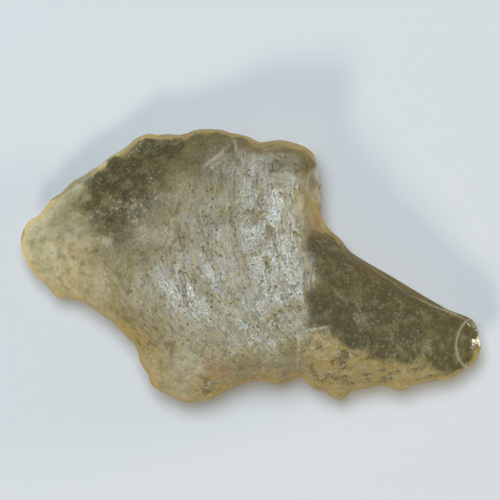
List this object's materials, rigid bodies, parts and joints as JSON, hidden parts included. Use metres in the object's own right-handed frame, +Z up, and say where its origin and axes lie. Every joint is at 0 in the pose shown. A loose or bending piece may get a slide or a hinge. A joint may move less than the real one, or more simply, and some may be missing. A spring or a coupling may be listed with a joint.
{
  "type": "raw desert glass fragment",
  "caption": "Flat wind-worn fragment of translucent pale yellow natural glass, with a narrow tail, a notch and chipped ends, lying on a worn underside.",
  "frame": {"origin": "the middle of the bounding box seen from above, at the height of the surface that the fragment lies on", "axes": "+X along the length towards the narrow tail, +Y across the width towards the long rounded edge, +Z up from the worn flat patch of the underside"},
  "size_m": [0.0556, 0.033, 0.0128],
  "materials": {
    "desert_glass": "translucent pale yellow to olive glass, frosted and fluted by wind-blown sand, with clear fresh chips"
  },
  "bodies": {
    "root": {"desert_glass": "desert_glass"}
  },
  "joints": []
}
